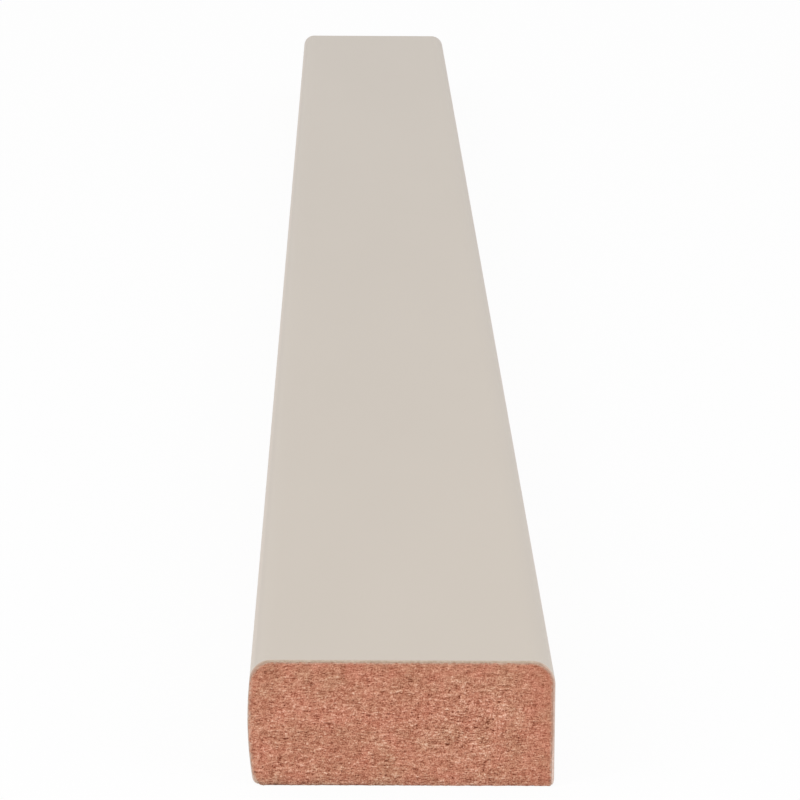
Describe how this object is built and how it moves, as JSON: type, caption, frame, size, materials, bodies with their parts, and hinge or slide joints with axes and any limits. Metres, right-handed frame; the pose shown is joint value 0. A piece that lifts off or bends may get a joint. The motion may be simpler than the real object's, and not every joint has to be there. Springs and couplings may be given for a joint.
{
  "type": "trim strip",
  "caption": "Flat fibreboard trim strip with rounded face edges, wrapped in smooth satin film over the face and both long edges, with a raw back and sawn ends.",
  "frame": {"origin": "middle of the back, halfway between the two cut ends", "axes": "+Y along the strip, +Z from the back out of the finished face, +X across the strip, away from the crowned edge"},
  "size_m": [0.0425, 0.725, 0.018],
  "materials": {
    "fibreboard": "raw sawn and sanded fibreboard",
    "film": "smooth satin film, warm light grey"
  },
  "bodies": {
    "root": {"board_core": "fibreboard", "wrap_film": "film"}
  },
  "joints": []
}
